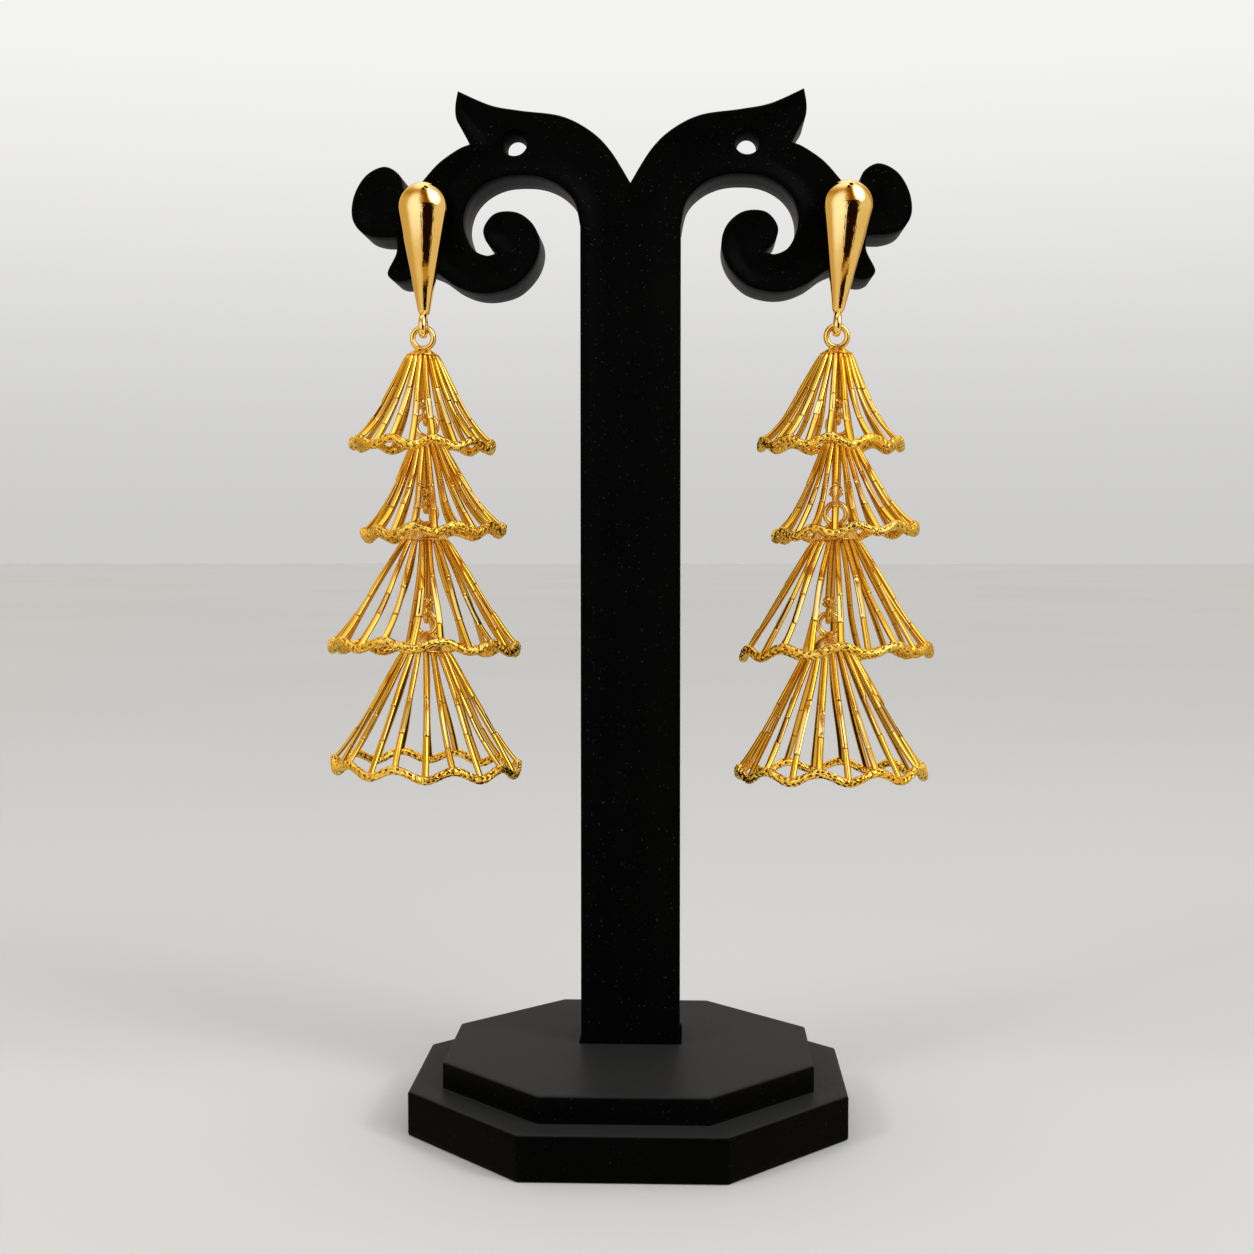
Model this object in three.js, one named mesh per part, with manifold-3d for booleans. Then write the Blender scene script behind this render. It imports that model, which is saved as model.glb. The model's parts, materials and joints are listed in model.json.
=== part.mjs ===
// A pair of four-tier jhumka drop earrings on a black display stand.
// Millimetres, +Z up, +Y away from the viewer. The origin is the centre of the base's underside.
// Each earring is a pear-shaped stud with four wire bells hung under it, one inside the next.
import * as THREE from 'three';
import { mergeVertices } from 'three/addons/utils/BufferGeometryUtils.js';
import Module from 'manifold-3d';

const wasm = await Module();
wasm.setup();

// ---- driving dimensions ----
const GAP = 0.3;                    // air kept between neighbouring pieces

// stand base: two octagonal steps, a little wider across the front than at the sides
const LOWER = { apothem: 25.0, frontHalf: 11.2, sideHalf: 9.9, bottom: 0, top: 5.1 };
const UPPER = { apothem: 21.2, frontHalf: 9.3, sideHalf: 8.5, bottom: 5.0, top: 8.1 };
const SLOT_FLOOR = 2.0;             // the upright plugs down to here
const SLOT_PLAY = 0.2;              // slack all round the upright in its slot

// upright: one flat plate, a stem with two scrolled arms
const PLATE = 9.15;                 // thickness, from y = 0 back
const STEM_HALF = 5.85;
const POST_HOLE = { mouth: 1.6, throat: 1.15, throatDepth: 5.9, pocket: 2.6 };
const SPARE_HOLE = { x: 13.6, z: 114.1 };
const STUD_HOLE = { x: 24.25, z: 104.6 };

// stud: pear-shaped front, post behind, hook loop under the tip
const PEAR = { r: 2.75, tipR: 0.75, drop: 12.4, wall: 0.7, bulge: 0.85, rise: 1.8 };
const STUD_Z = 104.45;              // height of the post, which sits low in its hole
const POST = { r: 0.45, length: 10.4 };
const BACK = { r: 1.8, bore: 0.75, thick: 1.7, hub: 1.2, hubLength: 1.1 };
const HANG_Y = -1.6;                // plane in which the bells hang
const HANG_DROP = 12.03;            // post to first pivot

// links: a ring on each bell hangs in an eye above it, both centred for free swing
const RING = { r: 1.21, wire: 0.35 };
const EYE = { r: 0.92, wire: 0.32 };
const CAP_DROP = 2.4;               // pivot to the top of the cap below it

// wire bells: 20 strips from a domed cap to a rim with 10 scallops
const STRIPS = 20;
const SCALLOPS = 10;
const STRIP_WIDTH = 0.74;
const STRIP_THICK = 0.5;
const CAP_DOME = { share: 0.72, drop: 0.35 };  // the dome's ring of points, as shares of capR and capRise
const CAP_FLOOR = 0.1;              // the cap's underside sags this much at its middle
const RIM_HALF = 0.55;
const RIM_TOP = 0.8;                // the rim's flat top, as a share of its half thickness
const RIM_DROOP = 0.1;              // the rim is widest this far under its middle
const CROWDED = 0.94;               // widest share of its pitch that a strip takes near the cap
const STEM = { r: 0.75, intoCap: 0.3, overEye: 0.1 };
const BEAD = { r: 0.9, squash: 0.7, sink: 0.05 };
const SMALL = {
  height: 11.2, capR: 1.75, capRise: 0.8, rimR: 8.0, cone: 0.765, wave: 0.38, stem: 7.8, bend: 0.62,
};
const LARGE = {
  height: 14.8, capR: 2.75, capRise: 1.9, rimR: 10.65, cone: 0.94, wave: 0.45, stem: 10.4, bend: 0.5,
};
const LEFT_THIRD = { ...LARGE, height: 14.35 };
const LEFT_LOWEST = { ...LARGE, height: 15.4, wave: 0.52 };
const RIGHT_LOWEST = { ...LARGE, height: 15.9, wave: 0.52 };

// how each earring hangs: a lean is sideways, in degrees from straight down, + to the right. A
// bell's stem leans by its own angle. tip is how far the bell is tipped up at the front, in degrees,
// skew is how far its strips are bent aside, also in degrees, + to the right, turn is the angle from
// the front to the nearest low scallop, and pearShift is how far the pear was soldered to the side
// of its post.
const EARRINGS = [
  {
    side: 'left', x: -24.165, studLean: -0.2, pearShift: 0.2,
    bells: [
      { size: SMALL, lean: -1.3, skew: 0.8, stemLean: 1.4, tip: 0, turn: 0 },
      { size: SMALL, lean: 2.4, skew: 2, stemLean: 0, tip: 2.2, turn: 8.5 },
      { size: LEFT_THIRD, lean: -0.9, skew: 0.7, stemLean: 0, tip: 4.2, turn: 0.5 },
      { size: LEFT_LOWEST, lean: -2.0, skew: 2, tip: 0.5, turn: 7 },
    ],
  },
  {
    side: 'right', x: 24.385, studLean: -5.1, pearShift: 0.58,
    bells: [
      { size: SMALL, lean: -0.4, skew: -2.8, stemLean: 0.8, tip: 0, turn: 12 },
      { size: SMALL, lean: 3.0, skew: 0.8, stemLean: -1.0, tip: 2.2, turn: -13 },
      { size: LARGE, lean: 1.3, skew: -1.5, stemLean: -3.4, tip: 4.2, turn: 16 },
      { size: RIGHT_LOWEST, lean: 0.5, skew: 0.3, tip: 3, turn: 7 },
    ],
  },
];

const radians = THREE.MathUtils.degToRad;

// ---- materials ----
const gold = new THREE.MeshStandardMaterial({ color: 0xe0a93a, roughness: 0.2, metalness: 1 });
const blackPlastic = new THREE.MeshStandardMaterial({ color: 0x141414, roughness: 0.5, metalness: 0 });

// ---- solids ----
function toSolid(geometry) {
  const bare = geometry.clone();
  bare.deleteAttribute('normal');
  bare.deleteAttribute('uv');
  const merged = mergeVertices(bare, 1e-4);
  return new wasm.Manifold(new wasm.Mesh({
    numProp: 3,
    vertProperties: new Float32Array(merged.attributes.position.array),
    triVerts: new Uint32Array(merged.index.array),
  }));
}

function toGeometry(solid) {
  const mesh = solid.getMesh();
  const geometry = new THREE.BufferGeometry();
  geometry.setAttribute('position', new THREE.BufferAttribute(mesh.vertProperties, 3));
  geometry.setIndex(new THREE.BufferAttribute(mesh.triVerts, 1));
  return geometry;
}

function indexed(points, triangles) {
  const geometry = new THREE.BufferGeometry();
  geometry.setAttribute('position', new THREE.Float32BufferAttribute(points.flat(), 3));
  geometry.setIndex(triangles.flat());
  return geometry;
}

// rings of equal length joined side by side, with a fan at each end
function loft(rings) {
  const count = rings[0].length;
  const points = rings.flat();
  const triangles = [];
  for (let k = 0; k + 1 < rings.length; k++) {
    for (let i = 0; i < count; i++) {
      const a = k * count + i;
      const b = k * count + (i + 1) % count;
      triangles.push([a, a + count, b], [b, a + count, b + count]);
    }
  }
  const ends = [
    { ring: rings[0], start: 0, facesBack: true },
    { ring: rings.at(-1), start: (rings.length - 1) * count, facesBack: false },
  ];
  for (const { ring, start, facesBack } of ends) {
    const middle = [0, 1, 2].map((axis) => ring.reduce((sum, p) => sum + p[axis], 0) / count);
    const hub = points.push(middle) - 1;
    for (let i = 0; i < count; i++) {
      const a = start + i;
      const b = start + (i + 1) % count;
      triangles.push(facesBack ? [a, b, hub] : [b, a, hub]);
    }
  }
  return indexed(points, triangles);
}

// a flat shape drawn in X and Z, made solid from y = 0 back to y = depth
function plate(shape, depth) {
  const geometry = new THREE.ExtrudeGeometry(shape, { depth, bevelEnabled: false, curveSegments: 1 });
  geometry.rotateX(Math.PI / 2);
  geometry.translate(0, depth, 0);
  return geometry;
}

// a round piece along Y: the profile lists [radius, y] from the front of the axis to the back
function turnedAlongY(profile, segments) {
  return new THREE.LatheGeometry(profile.map(([r, y]) => new THREE.Vector2(r, y)), segments);
}

// ---- stand ----
function octagonStep({ apothem, frontHalf, sideHalf, bottom, top }) {
  const corners = [
    [frontHalf, -apothem], [apothem, -sideHalf], [apothem, sideHalf], [frontHalf, apothem],
    [-frontHalf, apothem], [-apothem, sideHalf], [-apothem, -sideHalf], [-frontHalf, -apothem],
  ];
  const shape = new THREE.Shape(corners.map(([x, y]) => new THREE.Vector2(x, y)));
  const geometry = new THREE.ExtrudeGeometry(shape, { depth: top - bottom, bevelEnabled: false });
  geometry.translate(0, 0, bottom);
  return geometry;
}

function standBase() {
  const slotTop = UPPER.top + 1;
  const slotWidth = 2 * (STEM_HALF + SLOT_PLAY);
  const slot = new THREE.BoxGeometry(slotWidth, PLATE + 2 * SLOT_PLAY, slotTop - SLOT_FLOOR);
  slot.translate(0, PLATE / 2, (slotTop + SLOT_FLOOR) / 2);
  const steps = toSolid(octagonStep(LOWER)).add(toSolid(octagonStep(UPPER)));
  return toGeometry(steps.subtract(toSolid(slot)));
}

// right half of the upright's outline, stroke by stroke from the V between the arms to the stem;
// each stroke is a smooth curve through its points and starts where the last one ended
const STROKES = [
  { name: 'crest', steps: 11, through: [[2.3, 113.0], [4.7, 115.35], [8.1, 117.05], [12.8, 117.7],
    [16.3, 118.35], [20.1, 120.0]] },
  { name: 'crest tip', steps: 5, through: [[20.4, 118.3], [20.3, 116.8], [19.6, 115.5], [18.75, 113.85]] },
  { name: 'shoulder', steps: 5, through: [[20.1, 113.3], [22.4, 111.7], [24.3, 109.6], [25.4, 108.2]] },
  { name: 'leaf', steps: 14, through: [[26.5, 108.8], [27.0, 110.4], [28.75, 111.35], [30.9, 110.35],
    [32.3, 108.1], [32.6, 105.6], [31.6, 103.85], [29.7, 103.15], [27.4, 103.2]] },
  { name: 'leaf tail', steps: 6, through: [[27.4, 101.3], [28.45, 99.0], [27.4, 98.05], [25.7, 98.3],
    [24.5, 99.7]] },
  { name: 'scroll', steps: 24, through: [[22.6, 98.95], [20.4, 97.45], [18.1, 96.65], [15.7, 96.7],
    [13.3, 97.6], [11.3, 99.8], [10.6, 102.3], [11.3, 104.5], [13.2, 105.95], [15.7, 105.9],
    [17.1, 104.3], [16.9, 102.7], [15.6, 101.3]] },
  { name: 'opening', steps: 16, through: [[16.9, 101.0], [18.5, 101.9], [19.5, 104.5], [19.05, 107.0],
    [17.6, 108.85], [15.4, 110.0], [12.9, 110.3], [10.45, 110.04], [8.25, 109.03], [6.55, 107.2],
    [STEM_HALF, 104.3]] },
];
const V_NOTCH = [0, 109.3];

function halfOutline() {
  const outline = [new THREE.Vector2(...V_NOTCH)];
  for (const { steps, through } of STROKES) {
    const curve = new THREE.SplineCurve([outline.at(-1), ...through.map((p) => new THREE.Vector2(...p))]);
    outline.push(...curve.getSpacedPoints(steps).slice(1));
  }
  outline.push(new THREE.Vector2(STEM_HALF, SLOT_FLOOR + GAP));
  return outline;
}

// a post hole: a mouth that narrows to a throat, then a round pocket for the earring's back
function postHole({ x, z }) {
  const { mouth, throat, throatDepth, pocket } = POST_HOLE;
  const profile = [[0, -1], [mouth, -1], [mouth, 0], [throat, throatDepth], [pocket, throatDepth],
    [pocket, PLATE + 1], [0, PLATE + 1]];
  return toSolid(turnedAlongY(profile, 10).translate(x, 0, z));
}

function standUpright() {
  const right = halfOutline();
  const left = right.slice(1).reverse().map((p) => new THREE.Vector2(-p.x, p.y));
  let solid = toSolid(plate(new THREE.Shape([...right, ...left]), PLATE));
  for (const side of [-1, 1]) {
    for (const { x, z } of [SPARE_HOLE, STUD_HOLE]) {
      solid = solid.subtract(postHole({ x: side * x, z }));
    }
  }
  return toGeometry(solid);
}

// ---- stud ----
// half width of the pear at depth t under its round centre: a circle, then its straight tangents
// down to the small round of the tip
function pearHalfWidth(t) {
  const { r, tipR, drop } = PEAR;
  const sine = (r - tipR) / drop;
  const cosine = Math.sqrt(1 - sine * sine);
  if (t < r * sine) {
    return Math.sqrt(Math.max(r * r - t * t, 0));
  }
  if (t > drop + tipR * sine) {
    return Math.sqrt(Math.max(tipR * tipR - (t - drop) ** 2, 0));
  }
  return (r - t * sine) / cosine;
}

// domed pear: cross-sections with a flat back, short side walls and a half-round front
function pear() {
  const arcSteps = 6;
  const top = -PEAR.r * 0.995;
  const bottom = PEAR.drop + PEAR.tipR * 0.97;
  const levels = [0, 0.015, 0.06, 0.13, 0.23, 0.37, 0.55, 0.78, 0.95, 0.985, 1];
  const rings = levels.map((level) => {
    const t = top + level * (bottom - top);
    const w = pearHalfWidth(t);
    const wall = Math.min(PEAR.wall, w);
    const z = PEAR.rise - t;
    const ring = [[-w, -GAP, z]];
    for (let i = 0; i <= arcSteps; i++) {
      const angle = Math.PI * (1 - i / arcSteps);
      ring.push([w * Math.cos(angle), -GAP - wall - PEAR.bulge * w * Math.sin(angle), z]);
    }
    ring.push([w, -GAP, z]);
    return ring;
  });
  return loft(rings);
}

function eye(x, y, z) {
  const geometry = new THREE.TorusGeometry(EYE.r, EYE.wire, 5, 9);
  geometry.rotateY(Math.PI / 2);
  geometry.translate(x, y, z);
  return geometry;
}

// pear, post and hook loop are soldered, so they are one solid; its origin is the post's axis
function stud(pearShift) {
  const post = turnedAlongY([[0, -GAP - 0.4], [POST.r, -GAP - 0.4], [POST.r, POST.length - GAP],
    [0, POST.length - GAP]], 8);
  const front = toSolid(pear()).add(toSolid(eye(0, HANG_Y, -HANG_DROP))).translate([pearShift, 0, 0]);
  return toGeometry(front.add(toSolid(post)));
}

// screw back: a flat disc with a short hub, in the pocket behind the arm
function screwBack() {
  const { r, bore, thick, hub, hubLength } = BACK;
  const front = POST_HOLE.throatDepth + GAP;
  const profile = [[bore, front], [r, front], [r, front + thick], [hub, front + thick],
    [hub, front + thick + hubLength], [bore, front + thick + hubLength], [bore, front]];
  return turnedAlongY(profile, 10);
}

// ---- bells ----
// The cage hangs under the origin, which is the pivot of its ring. Each strip is a flat bar on its
// own bearing; the bar's foot is the top face of the rim wire, so strips and rim are one surface.
function cage({ height, capR, capRise, rimR, cone, wave, bend }, turn, skew) {
  const capTop = -CAP_DROP;
  const points = [];
  const triangles = [];
  const add = (r, angle, z) => {
    const aside = (capTop - z) * Math.tan(skew);
    return points.push([r * Math.sin(angle) + aside, -r * Math.cos(angle), z]) - 1;
  };
  const quad = (a, b, c, d) => triangles.push([a, b, c], [a, c, d]);

  const columns = 2 * STRIPS;
  const bearing = (column, r) => {
    const middle = turn + 2 * Math.PI * Math.floor(column / 2) / STRIPS;
    const half = Math.min(STRIP_WIDTH / 2 / r, CROWDED * Math.PI / STRIPS);
    return middle + (column % 2 ? half : -half);
  };
  const scallop = (angle) => -wave * Math.cos(SCALLOPS * (angle - turn));
  const wallRadius = (s) => capR + (rimR - capR) * (cone * s + (1 - cone) * s ** 4);

  // strips in three rows: collar, bend and foot
  const half = STRIP_THICK / 2;
  const levels = [0, bend, 1];
  const rows = levels.length - 1;
  const wall = [];
  const step = 0.01;                // either side of s, to measure the wall's slope
  for (const [row, s] of levels.entries()) {
    const r = wallRadius(s);
    const slope = (wallRadius(s + step) - wallRadius(s - step)) / (2 * step * (height - capRise));
    const tilt = Math.atan(slope);
    const out = half * Math.cos(tilt);
    const up = half * Math.sin(tilt);
    const outer = [];
    const inner = [];
    for (let column = 0; column < columns; column++) {
      const angle = bearing(column, r);
      const z = capTop - capRise - s * (height - capRise);
      const foot = row === rows ? scallop(angle) + RIM_HALF * RIM_TOP : 0;
      outer.push(add(row === rows ? r + half : r + out, angle, row === rows ? z + foot : z + up));
      inner.push(add(row === rows ? r - half : r - out, angle, row === rows ? z + foot : z - up));
    }
    wall.push({ outer, inner });
  }
  for (let row = 0; row < rows; row++) {
    const a = wall[row];
    const b = wall[row + 1];
    for (let left = 0; left < columns; left += 2) {
      const right = left + 1;
      quad(a.outer[left], b.outer[left], b.outer[right], a.outer[right]);
      quad(a.inner[right], b.inner[right], b.inner[left], a.inner[left]);
      quad(a.inner[left], b.inner[left], b.outer[left], a.outer[left]);
      quad(a.outer[right], b.outer[right], b.inner[right], a.inner[right]);
    }
  }

  // rim wire: five-sided, its flat top shared with the feet of the strips
  const feet = wall[rows];
  const rimZ = capTop - height;
  const belly = [];
  for (let column = 0; column < columns; column++) {
    const angle = bearing(column, rimR);
    const z = rimZ + scallop(angle);
    belly.push([
      feet.outer[column],
      add(rimR + RIM_HALF, angle, z - RIM_DROOP),
      add(rimR, angle, z - RIM_HALF),
      add(rimR - RIM_HALF, angle, z - RIM_DROOP),
      feet.inner[column],
    ]);
  }
  for (let column = 0; column < columns; column++) {
    const a = belly[column];
    const b = belly[(column + 1) % columns];
    for (let side = 0; side < 4; side++) {
      quad(a[side], a[side + 1], b[side + 1], b[side]);
    }
    if (column % 2) {
      quad(a[4], a[0], b[0], b[4]);
    }
  }

  // cap: collar edge, a ring of 20 points, then the crown; flat underneath
  const collar = wall[0];
  const dome = [];
  for (let strip = 0; strip < STRIPS; strip++) {
    const angle = turn + 2 * Math.PI * strip / STRIPS;
    dome.push(add(capR * CAP_DOME.share, angle, capTop - capRise * CAP_DOME.drop));
  }
  const crown = add(0, 0, capTop);
  const ceiling = add(0, 0, capTop - capRise - CAP_FLOOR);
  for (let strip = 0; strip < STRIPS; strip++) {
    const next = (strip + 1) % STRIPS;
    const left = 2 * strip;
    const right = left + 1;
    const after = (left + 2) % columns;
    triangles.push([collar.outer[left], collar.outer[right], dome[strip]]);
    triangles.push([collar.outer[right], collar.outer[after], dome[next]]);
    triangles.push([collar.outer[right], dome[next], dome[strip]]);
    triangles.push([dome[strip], dome[next], crown]);
    triangles.push([collar.inner[right], collar.inner[left], ceiling]);
    triangles.push([collar.inner[after], collar.inner[right], ceiling]);
    quad(collar.outer[right], collar.inner[right], collar.inner[after], collar.outer[after]);
  }
  return indexed(points, triangles);
}

// a bell is soldered from its ring, cage and, over a lower bell, the stem that carries the next eye;
// the stem is turned back from the bell's lean and tip, so that it hangs at its own angle
function bell({ size, turn, lean, skew, stemLean, tip }, carriesNext) {
  const ring = new THREE.TorusGeometry(RING.r, RING.wire, 5, 12);
  ring.rotateX(Math.PI / 2);
  ring.translate(0, 0, -RING.r);
  let solid = toSolid(cage(size, radians(turn), radians(skew))).add(toSolid(ring));
  if (carriesNext) {
    const eyeZ = -CAP_DROP - size.stem;
    const stemTop = -CAP_DROP - size.capRise + STEM.intoCap;
    const stemFoot = eyeZ + EYE.r + EYE.wire + STEM.overEye;
    const stem = new THREE.CylinderGeometry(STEM.r, STEM.r, stemTop - stemFoot, 6);
    stem.rotateX(Math.PI / 2);
    stem.translate(0, 0, (stemTop + stemFoot) / 2);
    const bead = new THREE.SphereGeometry(BEAD.r, 6, 4);
    bead.scale(1, 1, BEAD.squash);
    bead.translate(0, 0, stemFoot - BEAD.sink);
    const drop = toSolid(stem).add(toSolid(bead)).add(toSolid(eye(0, 0, eyeZ)));
    solid = solid.add(drop.rotate([0, lean - stemLean, 0]).rotate([tip, 0, 0]));
  }
  return toGeometry(solid);
}

// ---- assembly ----
const group = new THREE.Group();

function piece(name, geometry, material, parent) {
  const mesh = new THREE.Mesh(geometry, material);
  mesh.name = name;
  parent.add(mesh);
  return mesh;
}

piece('stand_base', standBase(), blackPlastic, group);
piece('stand_upright', standUpright(), blackPlastic, group);

for (const { side, x, studLean, pearShift, bells } of EARRINGS) {
  const hung = new THREE.Group();
  hung.position.set(x, 0, STUD_Z);
  hung.rotation.y = -radians(studLean);
  piece(`${side}_stud`, stud(pearShift), gold, hung);
  piece(`${side}_screw_back`, screwBack(), gold, hung);
  group.add(hung);

  // each bell's pivot is the eye of the piece above it
  const pivot = new THREE.Vector3(pearShift, HANG_Y, -HANG_DROP);
  pivot.applyEuler(hung.rotation).add(hung.position);
  bells.forEach((hanging, index) => {
    const place = new THREE.Group();
    place.position.copy(pivot);
    place.rotation.set(-radians(hanging.tip), -radians(hanging.lean), 0, 'YXZ');
    const carriesNext = index < bells.length - 1;
    piece(`${side}_bell_${index + 1}`, bell(hanging, carriesNext), gold, place);
    group.add(place);
    if (carriesNext) {
      const drop = CAP_DROP + hanging.size.stem;
      const angle = radians(hanging.stemLean);
      pivot.add(new THREE.Vector3(drop * Math.sin(angle), 0, -drop * Math.cos(angle)));
    }
  });
}

export default group;
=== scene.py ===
# A pair of four-tier jhumka drop earrings on a black display stand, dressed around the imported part.
# Sizes are worked out in millimetres, as a goldsmith would give them, and become metres in the mesh.
# The file goes from the base up and then down each earring; the studio comes last.
import json
import math
from functools import partial

import bpy
import numpy as np
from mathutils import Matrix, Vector
from mathutils.geometry import delaunay_2d_cdt


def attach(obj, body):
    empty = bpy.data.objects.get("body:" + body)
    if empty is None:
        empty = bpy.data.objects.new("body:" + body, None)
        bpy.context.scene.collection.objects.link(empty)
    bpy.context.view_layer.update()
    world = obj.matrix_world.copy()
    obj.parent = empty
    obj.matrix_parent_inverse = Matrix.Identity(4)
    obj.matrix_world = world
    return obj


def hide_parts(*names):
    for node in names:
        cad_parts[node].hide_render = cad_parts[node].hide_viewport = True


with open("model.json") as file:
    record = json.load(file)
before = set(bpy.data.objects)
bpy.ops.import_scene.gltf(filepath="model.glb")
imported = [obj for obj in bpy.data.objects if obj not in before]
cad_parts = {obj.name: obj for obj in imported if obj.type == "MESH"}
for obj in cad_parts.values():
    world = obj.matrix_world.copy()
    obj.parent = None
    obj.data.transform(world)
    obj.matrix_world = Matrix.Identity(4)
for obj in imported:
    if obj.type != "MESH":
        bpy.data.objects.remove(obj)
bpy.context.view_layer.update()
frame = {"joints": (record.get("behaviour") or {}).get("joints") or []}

scene = bpy.context.scene

# ---- Stand base -------------------------------------------------------------------------------
# A foot of black injection-moulded styrene in two octagonal steps, a little wider across the front
# than at the sides. Its edges are slightly rounded by the mould, and a slot in the top takes the
# upright, which is pressed in and leaves a hairline seam all round.
MM = 0.001
BASE_LOWER = {"apothem": 25.0, "front_half": 11.2, "side_half": 9.9}
BASE_UPPER = {"apothem": 21.2, "front_half": 9.3, "side_half": 8.5}
LOWER_TOP = 5.1
UPPER_TOP = 8.1
BASE_EDGE = 0.32
BASE_CORNER = 0.45
# narrow flat strips beside the rounded edges, on a side and on a top, keep the flats flat
SIDE_STRIP = 0.5
TOP_STRIP = 0.6
STEP_FILLET = 0.16
STEM_HALF = 5.85
PLATE = 9.15
SLOT_PLAY = 0.16
SLOT_CHAMFER = 0.12
SLOT_FLOOR = 2.0


def corner_quads(rows, columns, ring):
    """Corner numbers of the faces of a grid of points. Columns always wrap round; rows do if ring."""
    row = np.arange(rows if ring else rows - 1)[:, None]
    column = np.arange(columns)[None, :]
    below, beside = (row + 1) % rows, (column + 1) % columns
    corners = [row * columns + column, row * columns + beside,
               below * columns + beside, below * columns + column]
    return np.stack(np.broadcast_arrays(*corners), axis=-1).reshape(-1, 4)


def full_turn(count):
    """Count angles evenly round a full turn, from 0."""
    return np.linspace(0, 2 * math.pi, count + 1)[:-1]


def piece(name, points, faces, marks=None, sharp=38):
    """A mesh object from points in millimetres and faces of three or four corners. Points in the
    same place become one, so a row that has shrunk to a point closes a pole, and a face keeps only
    its different corners. Marks are named numbers, one for each point, for the finish to read."""
    places = np.round(np.asarray(points, np.float32), 4) + 0.0
    _, keep, where = np.unique(places, axis=0, return_index=True, return_inverse=True)
    corners = where.reshape(-1)[faces]
    distinct = corners != np.roll(corners, -1, axis=1)
    distinct[distinct.sum(axis=1) < 3] = False
    count = distinct.sum(axis=1)
    count = count[count > 0]
    mesh = bpy.data.meshes.new(name)
    mesh.vertices.add(len(keep))
    mesh.vertices.foreach_set("co", (points[keep] * MM).astype(np.float32).ravel())
    mesh.loops.add(int(count.sum()))
    mesh.loops.foreach_set("vertex_index", corners[distinct].astype(np.int32))
    mesh.polygons.add(len(count))
    mesh.polygons.foreach_set("loop_start", (np.cumsum(count) - count).astype(np.int32))
    mesh.update(calc_edges=True)
    mesh.validate()
    for mark, values in (marks or {}).items():
        layer = mesh.attributes.new(mark, "FLOAT", "POINT")
        layer.data.foreach_set("value", np.asarray(values, np.float32)[keep])
    mesh.shade_smooth()
    mesh.set_sharp_from_angle(angle=math.radians(sharp))
    made = bpy.data.objects.new(name, mesh)
    scene.collection.objects.link(made)
    return made


def joined(*skins):
    """Several skins in one: their points and faces, one after another."""
    starts = np.cumsum([0] + [len(points) for points, _ in skins])
    return (np.concatenate([points for points, _ in skins]),
            np.concatenate([faces + start for (_, faces), start in zip(skins, starts)]))


def skin(grids, ring=False):
    """Points and faces of one or more grids, each (rows, columns, 3), turned so that every closed
    skin faces outwards: its volume, summed over the faces, has to come out positive."""
    skins = []
    for grid in grids:
        points, quads = grid.reshape(-1, 3), corner_quads(*grid.shape[:2], ring)
        a, b, c, d = (points[quads[:, k]] for k in range(4))
        volume = np.einsum("ij,ij->", a, np.cross(b, c)) + np.einsum("ij,ij->", a, np.cross(c, d))
        skins.append((points, quads if volume > 0 else quads[:, ::-1]))
    return joined(*skins)


def octagon(step, inset, height):
    """One level of an octagonal step: its eight sides moved in by inset, with each corner turned on
    a small arc, and a point on the flat just before and just after it to keep the flats flat."""
    apothem, front, side = step["apothem"], step["front_half"], step["side_half"]
    corners = np.array([[front, -apothem], [apothem, -side], [apothem, side], [front, apothem],
                        [-front, apothem], [-apothem, side], [-apothem, -side], [-front, -apothem]])
    along = np.roll(corners, -1, axis=0) - corners
    along /= np.linalg.norm(along, axis=1)[:, None]
    out = np.stack([along[:, 1], -along[:, 0]], axis=1)
    out_before, along_before = np.roll(out, 1, axis=0), np.roll(along, 1, axis=0)
    half_turn = (1 + np.sum(out * out_before, axis=1))[:, None]
    radius = max(BASE_CORNER - inset, 0.02)
    centres = corners - (out + out_before) / half_turn * (inset + radius)
    turn = np.linspace(0, 1, 5)[None, :, None]
    arc = out_before[:, None] * (1 - turn) + out[:, None] * turn
    arc /= np.linalg.norm(arc, axis=2)[:, :, None]
    arc = centres[:, None] + arc * radius
    before = arc[:, :1] - along_before[:, None] * TOP_STRIP
    after = arc[:, -1:] + along[:, None] * TOP_STRIP
    ring = np.concatenate([before, arc, after], axis=1).reshape(-1, 2)
    return np.column_stack([ring, np.full(len(ring), height)])


def round_edge(step, top, radius, steps=4):
    """Levels that turn a step's top edge on a quarter circle, from its side to its top."""
    angle = np.linspace(0, math.pi / 2, steps + 1)
    insets, heights = radius * (1 - np.cos(angle)), top - radius * (1 - np.sin(angle))
    return [(step, inset, height) for inset, height in zip(insets, heights)]


def slot_ring(half_x, half_y, height, like):
    """A rectangle with hard corners round the upright, its points at the same bearings as like:
    the superellipse |x/a|^40 + |y/b|^40 = 1."""
    angle, power = np.arctan2(like[:, 1], like[:, 0]), 2 / 40
    x = half_x * np.sign(np.cos(angle)) * np.abs(np.cos(angle)) ** power
    y = PLATE / 2 + half_y * np.sign(np.sin(angle)) * np.abs(np.sin(angle)) ** power
    return np.column_stack([x, y, np.full(len(x), height)])


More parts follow.
